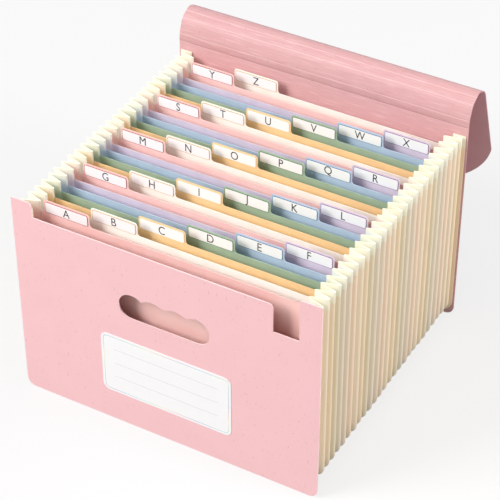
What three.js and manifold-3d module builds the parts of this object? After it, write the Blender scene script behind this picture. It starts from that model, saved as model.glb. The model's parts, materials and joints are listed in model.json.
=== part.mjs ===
import * as THREE from 'three';
import { mergeVertices } from 'three/addons/utils/BufferGeometryUtils.js';
import Module from 'manifold-3d';

// Expanding file with 27 pockets, standing open with its lid thrown back.
// Millimetres, +Z up, the front faces -Y. While building, y = 0 is the outer
// face of the front cover and z = 0 the bottom edge of both covers.

// Whole file
const WIDTH = 330;
const HEIGHT = 236;
const DEPTH = 308.6;
const POCKETS = 27;
const SEAT = 0.3; // clearance between sheets that are glued or rest on each other

// Sheets
const SHEET = 1.2; // covers and lid
const GUSSET_SHEET = 0.6;
const DIVIDER_SHEET = 0.6;
const STICKER = 0.4;
const COVER_CORNER = 9.5;

// Gusset: one pleated strip round the left side, the bottom and the right side
const GUSSET_TOP = HEIGHT - 7;
const GUSSET_MARGIN = 4; // how far the covers stand out past the pleats at the sides
const GUSSET_FLOOR_MARGIN = 5; // and below them
const PLEAT_DEPTH = 17.7;
const PLEAT_FLAT = 1.2; // width of the flat at the tip of a fold
const GLUE_FLANGE = 17.6; // glued flat to a cover, outwards from the line of the inner folds
const BACK_SEAM = 7; // how far out the sheet meets the back cover, from the line of the inner folds
const PLEAT_CORNER = 6; // corner radius along the inner folds
const PLEAT_CORNER_GROWTH = 0.4; // extra radius per millimetre further out
const PLEAT_CORNER_STEPS = 2;
const INNER_FOLD = WIDTH / 2 - GUSSET_MARGIN - GUSSET_SHEET / 2 - PLEAT_DEPTH;
const INNER_FLOOR = GUSSET_FLOOR_MARGIN + GUSSET_SHEET / 2 + PLEAT_DEPTH;
const FIRST_FOLD = SHEET + SEAT + GUSSET_SHEET / 2;
const FIRST_POCKET = 14.3; // the first pocket stands wider open than the others
const LAST_POCKET = 8.4; // and the last one less wide
const PITCH = (DEPTH - 2 * FIRST_FOLD - FIRST_POCKET - LAST_POCKET) / (POCKETS - 2);

// Dividers, their tabs and the tab labels
const DIVIDER_TOP = HEIGHT - 18;
const DIVIDER_INSET = GUSSET_SHEET / 2 + SEAT; // from the fold line to a divider's edge
const TAB_TOP = HEIGHT - 3.8;
const TAB_WIDTH = 51;
const TAB_CORNER = 3;
const TAB_FILLET = 3; // hollow corner where a tab meets its divider
const TAB_MARGIN = 3.2; // from a divider's side to the nearest tab
const TAB_COLUMNS = 6;
const LABEL_MARGIN = 1.6;
const LABEL_HEIGHT = 12.3;
const LABEL_CORNER = 2;

// Front cover
const RAIL = HEIGHT - 16.4; // lowered edge between the two posts
const POST_WIDTH = 22.5;
const POST_CORNER = 4;
const NOTCH_WIDTH = 26.8;
const NOTCH_FLOOR = HEIGHT - 48;
const NOTCH_CORNER = 5;
const HANDLE_HALF = 49.3;
const HANDLE_FLOOR = HEIGHT - 96.4;
const HANDLE_TOP = HEIGHT - 67.6;
const HANDLE_END_RADIUS = 14.3; // round lobe at each end
const HANDLE_LOBE_RADIUS = 19.5; // flatter lobe either side of the middle
const HANDLE_FLAT_HALF = 34;
const FRONT_LABEL_WIDTH = 144;
const FRONT_LABEL_HEIGHT = 73;
const FRONT_LABEL_MIDDLE = 73.5;
const FRONT_LABEL_CORNER = 7.5;

// Lid: the back cover's sheet carries on over four score lines
const LID_FOLD = HEIGHT + 11;
const STRIP_LENGTHS = [17, 16.2, 16.2];
const REST_BENDS = [20.9, 42.4, 55.5, 41.6]; // degrees at each score line, backwards
const FLAP_STRAIGHT = 96;
const TONGUE_LENGTH = 82;
const TONGUE_END_INSET = 81; // from the lid's side to the straight end of the tongue
const TONGUE_CORNER_INSET = 61; // to where the side's long curve ends
const TONGUE_CORNER_RISE = 4; // from there to the end
const TONGUE_CORNER_HANDLE = 69;
const SHOULDER_HANDLE = { inset: 8, out: 34 };
const SIDE_HANDLE = { inset: 35, rise: 18 };
const SCORE_GAP = 0.25; // from a score line to the edge of the sheet beside it
const SCORE_WEB = 0.3; // thickness left at a score line

// Chords on each curve: COARSE on small repeated corners, FINE elsewhere
const FINE = 6;
const COARSE = 2;

const PINK = 0xfac8cb;
const PINK_INSIDE = 0xeba5aa;
const CREAM = 0xfff4dc;
const WHITE = 0xfdfcf8;
const DIVIDER_COLOURS = [0xfac3be, 0xfaf0e1, 0xf5cd91, 0xa0b496, 0xa5b9d2, 0xcdbed7];

const wasm = await Module();
wasm.setup();

const file = new THREE.Group();
file.name = 'expanding_file';

function addPiece(name, geometry, colour, roughness) {
  const material = new THREE.MeshStandardMaterial({ color: colour, roughness, metalness: 0 });
  const mesh = new THREE.Mesh(geometry, material);
  mesh.name = name;
  file.add(mesh);
}

// Solids

function plate(shape, thickness, y, steps = FINE) {
  // An upright plate: the shape's second axis becomes +Z, and it fills y to y + thickness.
  const geometry = new THREE.ExtrudeGeometry(shape, {
    depth: thickness, bevelEnabled: false, curveSegments: steps,
  });
  geometry.rotateX(Math.PI / 2);
  geometry.translate(0, y + thickness, 0);
  return geometry;
}

function toSolid(geometry) {
  const bare = geometry.clone();
  bare.deleteAttribute('normal');
  bare.deleteAttribute('uv');
  const merged = mergeVertices(bare, 1e-4);
  return new wasm.Manifold(new wasm.Mesh({
    numProp: 3,
    vertProperties: new Float32Array(merged.attributes.position.array),
    triVerts: new Uint32Array(merged.index.array),
  }));
}

function toGeometry(solid) {
  const mesh = solid.getMesh();
  const indexed = new THREE.BufferGeometry();
  indexed.setAttribute('position', new THREE.BufferAttribute(mesh.vertProperties, 3));
  indexed.setIndex(new THREE.BufferAttribute(mesh.triVerts, 1));
  const geometry = indexed.toNonIndexed();
  geometry.computeVertexNormals();
  return geometry;
}

function roundedRect(x0, z0, x1, z1, radius) {
  const shape = new THREE.Shape();
  shape.moveTo(x0 + radius, z0);
  shape.lineTo(x1 - radius, z0);
  shape.absarc(x1 - radius, z0 + radius, radius, -Math.PI / 2, 0);
  shape.lineTo(x1, z1 - radius);
  shape.absarc(x1 - radius, z1 - radius, radius, 0, Math.PI / 2);
  shape.lineTo(x0 + radius, z1);
  shape.absarc(x0 + radius, z1 - radius, radius, Math.PI / 2, Math.PI);
  shape.lineTo(x0, z0 + radius);
  shape.absarc(x0 + radius, z0 + radius, radius, Math.PI, 1.5 * Math.PI);
  return shape;
}

// Score lines: a sheet is thinned on both faces towards the line it folds on

function scoreWedges(z, side) {
  // Two prisms that bevel the edge at height z of a plate centred on y = 0.
  // side is 1 where the plate lies above the line and -1 where it lies below.
  const slope = (SHEET - SCORE_WEB) / 2;
  const edge = z + side * SCORE_GAP;
  const wedges = [1, -1].map((face) => {
    const outline = new THREE.Shape([
      new THREE.Vector2(face * SCORE_WEB / 2, edge),
      new THREE.Vector2(face * SHEET / 2, edge + side * slope),
      new THREE.Vector2(face * SHEET, edge + side * slope),
      new THREE.Vector2(face * SHEET, edge - side * slope),
      new THREE.Vector2(face * SCORE_WEB / 2, edge - side * slope),
    ]);
    const length = WIDTH + 2 * SHEET;
    const prism = new THREE.ExtrudeGeometry(outline, { depth: length, bevelEnabled: false });
    // Outline axes (y, z) run along the width: the extrusion turns onto +X.
    prism.applyMatrix4(new THREE.Matrix4().set(
      0, 0, 1, -length / 2,
      1, 0, 0, 0,
      0, 1, 0, 0,
      0, 0, 0, 1,
    ));
    return toSolid(prism);
  });
  return wedges[0].add(wedges[1]);
}

function scoredStrip(length) {
  const slope = (SHEET - SCORE_WEB) / 2;
  const top = length - SCORE_GAP;
  const outline = new THREE.Shape([
    new THREE.Vector2(-SCORE_WEB / 2, SCORE_GAP),
    new THREE.Vector2(SCORE_WEB / 2, SCORE_GAP),
    new THREE.Vector2(SHEET / 2, SCORE_GAP + slope),
    new THREE.Vector2(SHEET / 2, top - slope),
    new THREE.Vector2(SCORE_WEB / 2, top),
    new THREE.Vector2(-SCORE_WEB / 2, top),
    new THREE.Vector2(-SHEET / 2, top - slope),
    new THREE.Vector2(-SHEET / 2, SCORE_GAP + slope),
  ]);
  const strip = new THREE.ExtrudeGeometry(outline, { depth: WIDTH, bevelEnabled: false });
  strip.applyMatrix4(new THREE.Matrix4().set(
    0, 0, 1, -WIDTH / 2,
    1, 0, 0, 0,
    0, 1, 0, 0,
    0, 0, 0, 1,
  ));
  return strip;
}

// Front cover

function handleHole() {
  // Hand hole with a flat floor, two round end lobes and two flatter lobes between them.
  const endX = HANDLE_HALF - HANDLE_END_RADIUS;
  const endZ = HANDLE_TOP - HANDLE_END_RADIUS;
  const lobeX = HANDLE_HALF / 4;
  const lobeZ = HANDLE_TOP - HANDLE_LOBE_RADIUS;
  const cusp = Math.asin(lobeX / HANDLE_LOBE_RADIUS);
  const cuspZ = lobeZ + HANDLE_LOBE_RADIUS * Math.cos(cusp);
  const join = Math.acos((2 * lobeX - endX) / HANDLE_END_RADIUS);
  const hole = new THREE.Path();
  hole.moveTo(-HANDLE_FLAT_HALF, HANDLE_FLOOR);
  hole.lineTo(HANDLE_FLAT_HALF, HANDLE_FLOOR);
  hole.quadraticCurveTo(HANDLE_HALF, HANDLE_FLOOR, HANDLE_HALF, endZ);
  hole.absarc(endX, endZ, HANDLE_END_RADIUS, 0, join);
  hole.lineTo(2 * lobeX, cuspZ);
  hole.absarc(lobeX, lobeZ, HANDLE_LOBE_RADIUS, Math.PI / 2 - cusp, Math.PI / 2 + cusp);
  hole.absarc(-lobeX, lobeZ, HANDLE_LOBE_RADIUS, Math.PI / 2 - cusp, Math.PI / 2 + cusp);
  hole.absarc(-endX, endZ, HANDLE_END_RADIUS, Math.PI - join, Math.PI);
  hole.quadraticCurveTo(-HANDLE_HALF, HANDLE_FLOOR, -HANDLE_FLAT_HALF, HANDLE_FLOOR);
  return hole;
}

function frontCover() {
  const half = WIDTH / 2;
  const post = half - POST_WIDTH;
  const notch = post - NOTCH_WIDTH;
  const shape = new THREE.Shape();
  shape.moveTo(-half + COVER_CORNER, 0);
  shape.lineTo(half - COVER_CORNER, 0);
  shape.absarc(half - COVER_CORNER, COVER_CORNER, COVER_CORNER, -Math.PI / 2, 0);
  shape.lineTo(half, HEIGHT);
  shape.lineTo(post + POST_CORNER, HEIGHT);
  shape.absarc(post + POST_CORNER, HEIGHT - POST_CORNER, POST_CORNER, Math.PI / 2, Math.PI);
  shape.lineTo(post, NOTCH_FLOOR);
  shape.lineTo(notch, NOTCH_FLOOR);
  shape.lineTo(notch, RAIL - NOTCH_CORNER);
  shape.absarc(notch - NOTCH_CORNER, RAIL - NOTCH_CORNER, NOTCH_CORNER, 0, Math.PI / 2);
  shape.lineTo(-post, RAIL);
  shape.lineTo(-post, HEIGHT - POST_CORNER);
  shape.absarc(-post - POST_CORNER, HEIGHT - POST_CORNER, POST_CORNER, 0, Math.PI / 2);
  shape.lineTo(-half, HEIGHT);
  shape.lineTo(-half, COVER_CORNER);
  shape.absarc(-half + COVER_CORNER, COVER_CORNER, COVER_CORNER, Math.PI, 1.5 * Math.PI);
  shape.holes.push(handleHole());
  return plate(shape, SHEET, 0);
}

function frontLabel() {
  const shape = roundedRect(
    -FRONT_LABEL_WIDTH / 2, FRONT_LABEL_MIDDLE - FRONT_LABEL_HEIGHT / 2,
    FRONT_LABEL_WIDTH / 2, FRONT_LABEL_MIDDLE + FRONT_LABEL_HEIGHT / 2,
    FRONT_LABEL_CORNER,
  );
  return plate(shape, STICKER, -SEAT - STICKER);
}

// Gusset

function pleatRing(out, top) {
  // The U that a point of the pleats follows, out millimetres outside the inner folds.
  const x = INNER_FOLD + out;
  const z = INNER_FLOOR - out;
  const radius = PLEAT_CORNER + PLEAT_CORNER_GROWTH * out;
  const right = [];
  for (let i = 0; i <= PLEAT_CORNER_STEPS; i += 1) {
    const turn = (i / PLEAT_CORNER_STEPS) * (Math.PI / 2);
    right.push([x - radius + radius * Math.sin(turn), z + radius - radius * Math.cos(turn)]);
  }
  right.push([x, top]);
  const left = right.map((point) => [-point[0], point[1]]).reverse();
  return left.concat(right);
}

function foldAt(number) {
  // Inner folds are counted from 0 at the front cover to POCKETS at the back cover.
  if (number === 0) {
    return FIRST_FOLD;
  }
  if (number === POCKETS) {
    return DEPTH - FIRST_FOLD;
  }
  return FIRST_FOLD + FIRST_POCKET + (number - 1) * PITCH;
}

function pleatLine() {
  // Middle line of the pleated sheet seen along the U: [y, out].
  const first = foldAt(0);
  const last = foldAt(POCKETS);
  const line = [[first, GLUE_FLANGE], [first, 0], [first + PLEAT_FLAT, 0]];
  for (let i = 0; i < POCKETS; i += 1) {
    const fold = foldAt(i + 1);
    const ridge = (foldAt(i) + fold) / 2;
    line.push([ridge - PLEAT_FLAT / 2, PLEAT_DEPTH], [ridge + PLEAT_FLAT / 2, PLEAT_DEPTH]);
    if (i < POCKETS - 1) {
      line.push([fold - PLEAT_FLAT / 2, 0], [fold + PLEAT_FLAT / 2, 0]);
    }
  }
  line.push([last - PLEAT_FLAT, BACK_SEAM], [last, BACK_SEAM], [last, GLUE_FLANGE]);
  return line;
}

function offsetLine(line, distance) {
  // The line moved sideways by distance, with its corners mitred.
  const normals = line.slice(1).map((point, i) => {
    const step = new THREE.Vector2(point[0] - line[i][0], point[1] - line[i][1]).normalize();
    return new THREE.Vector2(-step.y, step.x);
  });
  return line.map((point, i) => {
    const before = normals[Math.max(i - 1, 0)];
    const after = normals[Math.min(i, normals.length - 1)];
    const mitre = before.clone().add(after).normalize();
    const reach = distance / mitre.dot(after);
    return [point[0] + mitre.x * reach, point[1] + mitre.y * reach];
  });
}

function gusset() {
  const middle = pleatLine();
  const outer = offsetLine(middle, GUSSET_SHEET / 2);
  const inner = offsetLine(middle, -GUSSET_SHEET / 2);
  const profile = inner.concat(outer.reverse());
  const rings = profile.map((point) => pleatRing(point[1], GUSSET_TOP));
  const count = profile.length;
  const stations = rings[0].length;
  const positions = [];
  for (let s = 0; s < stations; s += 1) {
    for (let j = 0; j < count; j += 1) {
      positions.push(rings[j][s][0], profile[j][0], rings[j][s][1]);
    }
  }
  const index = [];
  for (let s = 0; s < stations - 1; s += 1) {
    for (let j = 0; j < count; j += 1) {
      const a = s * count + j;
      const b = s * count + ((j + 1) % count);
      index.push(a, b + count, b, a, a + count, b + count);
    }
  }
  const contour = profile.map((point) => new THREE.Vector2(point[0], point[1]));
  const last = (stations - 1) * count;
  for (const [a, b, c] of THREE.ShapeUtils.triangulateShape(contour, [])) {
    index.push(a, b, c);
    index.push(last + a, last + c, last + b);
  }
  const indexed = new THREE.BufferGeometry();
  indexed.setAttribute('position', new THREE.Float32BufferAttribute(positions, 3));
  indexed.setIndex(index);
  const geometry = indexed.toNonIndexed();
  geometry.computeVertexNormals();
  return geometry;
}

// Dividers

function tabMiddle(column) {
  const reach = INNER_FOLD - DIVIDER_INSET - TAB_MARGIN - TAB_WIDTH / 2;
  return -reach + (column * 2 * reach) / (TAB_COLUMNS - 1);
}

function divider(number, y) {
  const outline = pleatRing(-DIVIDER_INSET, DIVIDER_TOP);
  const middle = tabMiddle(number % TAB_COLUMNS);
  const left = middle - TAB_WIDTH / 2;
  const right = middle + TAB_WIDTH / 2;
  const shape = new THREE.Shape();
  shape.moveTo(outline[0][0], outline[0][1]);
  for (const [x, z] of outline.slice(1)) {
    shape.lineTo(x, z);
  }
  const hollow = DIVIDER_TOP + TAB_FILLET;
  shape.absarc(right + TAB_FILLET, hollow, TAB_FILLET, -Math.PI / 2, -Math.PI, true);
  shape.lineTo(right, TAB_TOP - TAB_CORNER);
  shape.absarc(right - TAB_CORNER, TAB_TOP - TAB_CORNER, TAB_CORNER, 0, Math.PI / 2);
  shape.lineTo(left + TAB_CORNER, TAB_TOP);
  shape.absarc(left + TAB_CORNER, TAB_TOP - TAB_CORNER, TAB_CORNER, Math.PI / 2, Math.PI);
  shape.absarc(left - TAB_FILLET, hollow, TAB_FILLET, 0, -Math.PI / 2, true);
  return plate(shape, DIVIDER_SHEET, y - DIVIDER_SHEET / 2, COARSE);
}

function tabLabel(number, y) {
  const middle = tabMiddle(number % TAB_COLUMNS);
  const half = TAB_WIDTH / 2 - LABEL_MARGIN;
  const top = TAB_TOP - LABEL_MARGIN;
  const shape = roundedRect(middle - half, top - LABEL_HEIGHT, middle + half, top, LABEL_CORNER);
  return plate(shape, STICKER, y - DIVIDER_SHEET / 2 - SEAT - STICKER, COARSE);
}

// Back cover and lid

function backCover() {
  const half = WIDTH / 2;
  const top = LID_FOLD - SCORE_GAP;
  const shape = new THREE.Shape();
  shape.moveTo(-half + COVER_CORNER, 0);
  shape.lineTo(half - COVER_CORNER, 0);
  shape.absarc(half - COVER_CORNER, COVER_CORNER, COVER_CORNER, -Math.PI / 2, 0);
  shape.lineTo(half, top);
  shape.lineTo(-half, top);
  shape.lineTo(-half, COVER_CORNER);
  shape.absarc(-half + COVER_CORNER, COVER_CORNER, COVER_CORNER, Math.PI, 1.5 * Math.PI);
  const sheet = toSolid(plate(shape, SHEET, -SHEET / 2));
  const geometry = toGeometry(sheet.subtract(scoreWedges(LID_FOLD, -1)));
  geometry.translate(0, DEPTH - SHEET / 2, 0);
  return geometry;
}

function lidFlap() {
  // Laid out flat: z is the distance from the last score line.
  const half = WIDTH / 2;
  const end = FLAP_STRAIGHT + TONGUE_LENGTH;
  const shoulder = [half - SHOULDER_HANDLE.inset, FLAP_STRAIGHT + SHOULDER_HANDLE.out];
  const side = [half - SIDE_HANDLE.inset, end - SIDE_HANDLE.rise];
  const corner = [half - TONGUE_CORNER_INSET, end - TONGUE_CORNER_RISE];
  const turn = half - TONGUE_CORNER_HANDLE;
  const flat = half - TONGUE_END_INSET;
  const shape = new THREE.Shape();
  shape.moveTo(-half, SCORE_GAP);
  shape.lineTo(half, SCORE_GAP);
  shape.lineTo(half, FLAP_STRAIGHT);
  shape.bezierCurveTo(...shoulder, ...side, ...corner);
  shape.quadraticCurveTo(turn, end, flat, end);
  shape.lineTo(-flat, end);
  shape.quadraticCurveTo(-turn, end, -corner[0], corner[1]);
  shape.bezierCurveTo(-side[0], side[1], -shoulder[0], shoulder[1], -half, FLAP_STRAIGHT);
  const sheet = toSolid(plate(shape, SHEET, -SHEET / 2));
  return toGeometry(sheet.subtract(scoreWedges(0, 1)));
}

function addLid() {
  let y = DEPTH - SHEET / 2;
  let z = LID_FOLD;
  let lean = 0; // degrees backwards from upright
  REST_BENDS.forEach((bend, i) => {
    lean += bend;
    const turn = THREE.MathUtils.degToRad(lean);
    const isStrip = i < STRIP_LENGTHS.length;
    const geometry = isStrip ? scoredStrip(STRIP_LENGTHS[i]) : lidFlap();
    geometry.rotateX(-turn);
    geometry.translate(0, y, z);
    addPiece(isStrip ? `lid_strip_${i + 1}` : 'lid_flap', geometry, PINK_INSIDE, 0.55);
    if (isStrip) {
      y += STRIP_LENGTHS[i] * Math.sin(turn);
      z += STRIP_LENGTHS[i] * Math.cos(turn);
    }
  });
}

// Assembly

addPiece('front_cover', frontCover(), PINK, 0.55);
addPiece('front_label', frontLabel(), WHITE, 0.4);
addPiece('gusset', gusset(), CREAM, 0.5);
for (let i = 1; i < POCKETS; i += 1) {
  const letter = String.fromCharCode(96 + i);
  const y = foldAt(i);
  addPiece(`divider_${letter}`, divider(i - 1, y), DIVIDER_COLOURS[(i - 1) % 6], 0.5);
  addPiece(`tab_label_${letter}`, tabLabel(i - 1, y), WHITE, 0.4);
}
addPiece('back_cover', backCover(), PINK_INSIDE, 0.55);
addLid();

// The origin goes to the middle of the footprint, at the bottom.
const bounds = new THREE.Box3().setFromObject(file);
const centre = bounds.getCenter(new THREE.Vector3());
for (const piece of file.children) {
  piece.geometry.translate(-centre.x, -centre.y, -bounds.min.z);
}

export default file;
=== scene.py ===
# %% [markdown]
# # An expanding file, standing open
# The file has two stiff covers, a pleated gusset between them, 26 lettered dividers and a lid that
# is thrown back over the rear edge. The solids come in finished for size and motion, and this
# script gives each of them its real surface. We work in metres, in the solids' own frame:
# x runs to the right, y from front to back and z upwards. The random numbers are seeded, so that
# each run gives the same file.

# %% Load the solids
import bpy
import json
import math
import random
from mathutils import Matrix, Vector


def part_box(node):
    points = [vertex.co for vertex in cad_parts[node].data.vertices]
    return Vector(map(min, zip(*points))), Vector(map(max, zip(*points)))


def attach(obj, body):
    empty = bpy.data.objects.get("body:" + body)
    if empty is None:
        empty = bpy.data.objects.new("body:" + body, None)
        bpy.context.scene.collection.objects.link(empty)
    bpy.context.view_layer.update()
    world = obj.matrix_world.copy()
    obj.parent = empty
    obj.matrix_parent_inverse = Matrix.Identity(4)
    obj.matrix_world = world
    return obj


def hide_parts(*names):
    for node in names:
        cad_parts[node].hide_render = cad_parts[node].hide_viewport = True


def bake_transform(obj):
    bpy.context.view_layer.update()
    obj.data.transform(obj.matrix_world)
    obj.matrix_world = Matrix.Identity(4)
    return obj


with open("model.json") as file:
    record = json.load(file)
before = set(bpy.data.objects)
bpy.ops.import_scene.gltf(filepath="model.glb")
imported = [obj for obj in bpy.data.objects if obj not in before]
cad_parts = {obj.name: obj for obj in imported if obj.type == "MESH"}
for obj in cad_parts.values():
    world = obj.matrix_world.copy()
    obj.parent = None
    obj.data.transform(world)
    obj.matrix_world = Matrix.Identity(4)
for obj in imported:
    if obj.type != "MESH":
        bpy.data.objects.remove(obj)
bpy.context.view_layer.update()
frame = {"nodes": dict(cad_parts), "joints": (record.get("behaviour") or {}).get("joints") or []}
MM = 0.001
SEED = 11
LETTERS = "ABCDEFGHIJKLMNOPQRSTUVWXYZ"
random.seed(SEED)

# %% [markdown]
# ## The camera first
# The photograph looks down on the front right corner. A long lens keeps the upright edges nearly
# parallel. We could turn the view by hand until it looks right, but a small error in the angle
# shows at once on so many parallel edges. So the eye point, the two angles and the lens were
# worked out from the corners of the covers and the tabs, and the render can be laid over the
# photograph.

# %% Place the camera
EYE = Vector((735.14, -1343.99, 1319.82)) * MM
VIEW_TURN = math.radians(29.359)
VIEW_DROP = math.radians(38.604)
LENS_MM = 138.36
SENSOR_MM = 36
FARTHEST = 20


def add_camera():
    data = bpy.data.cameras.new("camera")
    data.lens = LENS_MM
    data.sensor_width = SENSOR_MM
    data.clip_end = FARTHEST
    camera = bpy.data.objects.new("camera", data)
    bpy.context.scene.collection.objects.link(camera)
    camera.location = EYE
    camera.rotation_euler = (math.pi / 2 - VIEW_DROP, 0, VIEW_TURN)
    bpy.context.scene.camera = camera


add_camera()
print("camera at", EYE[:])

# %% [markdown]
# ## Small hands-on helpers
# An operator works on whatever is selected, and everything is selected after loading. So each
# step starts by picking exactly one object. A helper also copies a solid's mesh to a new piece,
# because the loaded solids themselves are never changed. We could draw the covers and dividers
# again from nothing, but a copy can't drift from the solid's size, and only its edges and its
# finish are left to do.


# %% Pick a piece and work on it
def pick(piece):
    bpy.ops.object.select_all(action="DESELECT")
    piece.select_set(True)
    bpy.context.view_layer.objects.active = piece


def apply_modifiers(piece):
    pick(piece)
    for modifier in list(piece.modifiers):
        bpy.ops.object.modifier_apply(modifier=modifier.name)


def settle(piece):
    """Puts the piece's place, turn and size into its mesh."""
    pick(piece)
    bpy.ops.object.transform_apply(location=True, rotation=True, scale=True)


def smooth(piece, degrees=35):
    pick(piece)
    bpy.ops.object.shade_smooth_by_angle(angle=math.radians(degrees))


def join_to(piece, others):
    """Joins the other objects to the piece."""
    pick(piece)
    for other in others:
        other.select_set(True)
    bpy.ops.object.join()


# %% Copy a sheet from its solid
SAME_POINT = 0.001 * MM
SAME_PLANE = math.radians(0.5)


def copy_sheet(node, name):
    """A new piece with a solid's mesh, its triangles joined into whole flat faces."""
    piece = bpy.data.objects.new(name, frame["nodes"][node].data.copy())
    bpy.context.scene.collection.objects.link(piece)
    piece.data.materials.clear()
    pick(piece)
    bpy.ops.object.mode_set(mode="EDIT")
    bpy.ops.mesh.select_all(action="SELECT")
    bpy.ops.mesh.remove_doubles(threshold=SAME_POINT)
    bpy.ops.mesh.dissolve_limited(angle_limit=SAME_PLANE)
    bpy.ops.object.mode_set(mode="OBJECT")
    return piece


print("points closer than", SAME_POINT, "m become one")

# %% Round a sheet's edges
SHARP_EDGE = math.radians(40)
WIDE_FACE = 0.999  # a face turned this squarely to the front or the back is one of the wide ones


def round_edges(piece, width, segments):
    """Rounds the edges of an upright sheet, and keeps its two wide faces shaded flat."""
    bevel = piece.modifiers.new("edge", "BEVEL")
    bevel.width = width
    bevel.segments = segments
    bevel.limit_method = "ANGLE"
    bevel.angle_limit = SHARP_EDGE
    apply_modifiers(piece)
    smooth(piece)
    for face in piece.data.polygons:
        if abs(face.normal.y) > WIDE_FACE:
            face.use_smooth = False


def belongs(piece, body, slot, *nodes):
    """Tells the frame what the piece moves with, and hides the solids that it stands for.

    The slot is not used.
    """
    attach(piece, body)
    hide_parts(*nodes)


print("edges sharper than", round(math.degrees(SHARP_EDGE)), "degrees get rounded")

# %% [markdown]
# ## Finishes
# The covers are a matte plastic sheet with a fine linen press and a few darker fibres. An image of
# such a sheet would be the quick way, but it blurs close by and repeats. Here each colour is mixed
# from layers of noise instead: the flat colour, a broad faint cloud, fine fibres and sparse
# stretched flecks. The press is only a shallow bump. Every pattern reads the piece's own
# coordinates, so it stays put when the lid moves. The lid bends, so its pattern follows a UV map,
# which holds the sheet's flat coordinates.


# %% Start a colour and a material
def colour(red, green, blue):
    """Screen values from 0 to 255 as the linear values that a shader reads."""
    linear = []
    for value in (red, green, blue):
        share = value / 255
        linear.append(share / 12.92 if share <= 0.04045 else ((share + 0.055) / 1.055) ** 2.4)
    return (*linear, 1)


def start_material(name, roughness, specular):
    material = bpy.data.materials.new(name)
    material.use_nodes = True
    shader = material.node_tree.nodes["Principled BSDF"]
    shader.inputs["Roughness"].default_value = roughness
    shader.inputs["Specular IOR Level"].default_value = specular
    return material, material.node_tree, shader


print("middle grey on the screen is", round(colour(128, 128, 128)[0], 3), "in a shader")


# %% Read coordinates and make noise
def own_coordinates(tree, stretch=(1, 1, 1), uv=None):
    """The piece's own coordinates in metres, stretched by a Mapping node."""
    mapping = tree.nodes.new("ShaderNodeMapping")
    mapping.inputs["Scale"].default_value = stretch
    if uv:
        source = tree.nodes.new("ShaderNodeUVMap")
        source.uv_map = uv
        tree.links.new(source.outputs["UV"], mapping.inputs["Vector"])
    else:
        source = tree.nodes.new("ShaderNodeTexCoord")
        tree.links.new(source.outputs["Object"], mapping.inputs["Vector"])
    return mapping.outputs["Vector"]


def noise(tree, vector, size, detail):
    """Noise whose lumps are about size metres wide."""
    node = tree.nodes.new("ShaderNodeTexNoise")
    node.inputs["Scale"].default_value = 1 / size
    node.inputs["Detail"].default_value = detail
    tree.links.new(vector, node.inputs["Vector"])
    return node.outputs["Fac"]


def band(tree, value, low, high):
    """0 below low and 1 above high, smooth between them."""
    node = tree.nodes.new("ShaderNodeMapRange")
    node.interpolation_type = "SMOOTHSTEP"
    node.inputs["From Min"].default_value = low
    node.inputs["From Max"].default_value = high
    tree.links.new(value, node.inputs["Value"])
    return node.outputs["Result"]


def calculate(tree, operation, first, second=None):
    """A Math node on an output and, where it needs one, a number or a second output."""
    node = tree.nodes.new("ShaderNodeMath")
    node.operation = operation
    tree.links.new(first, node.inputs[0])
    if isinstance(second, bpy.types.NodeSocket):
        tree.links.new(second, node.inputs[1])
    elif second is not None:
        node.inputs[1].default_value = second
    return node.outputs[0]


print("lumps of 2 mm need a noise scale of", round(1 / (2 * MM)))


# %% Lay one layer over another
def mix(tree, share, first, second):
    """Mixes two colours. Each colour, and the share, is a value or another node's output."""
    node = tree.nodes.new("ShaderNodeMix")
    node.data_type = "RGBA"
    sockets = (node.inputs[0], node.inputs[6], node.inputs[7])
    for socket, value in zip(sockets, (share, first, second)):
        if isinstance(value, bpy.types.NodeSocket):
            tree.links.new(value, socket)
        else:
            socket.default_value = value
    return node.outputs[2]


def patches(tree, vector, size, detail, low, high, strongest):
    """A layer's share: patches where the noise passes from low to high, up to strongest."""
    share = band(tree, noise(tree, vector, size, detail), low, high)
    return calculate(tree, "MULTIPLY", share, strongest)


def press_bump(tree, shader, vector, size, depth):
    """The shallow relief of a pressed sheet."""
    node = tree.nodes.new("ShaderNodeBump")
    node.inputs["Strength"].default_value = 1.0
    node.inputs["Distance"].default_value = depth
    tree.links.new(noise(tree, vector, size, detail=2), node.inputs["Height"])
    tree.links.new(node.outputs["Normal"], shader.inputs["Normal"])


print("a layer at share 0.25 leaves", 1 - 0.25, "of what lies under it")

# %% Build the linen sheet
# Each layer: size of its lumps, detail, where the noise starts to show and is full, and strength.
CLOUDS = (30 * MM, 2, 0.35, 0.7, 0.3)
FIBRES = (1.1 * MM, 3, 0.56, 0.8, 0.5)
FLECKS = (2.1 * MM, 1, 0.68, 0.76, 0.42)
DARK_STREAKS = (0.9 * MM, 3, 0.56, 0.74, 0.4)
# The pale streaks along x are a painted sheen on the lid's curl.
PAINTED_SHEEN_STREAKS = (1.3 * MM, 3, 0.52, 0.72, 0.55)
UPRIGHT_STRETCH = 0.45
STREAK_STRETCH = 0.045
PRESS_SIZE, PRESS_DEPTH = 0.8 * MM, 0.05 * MM


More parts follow.
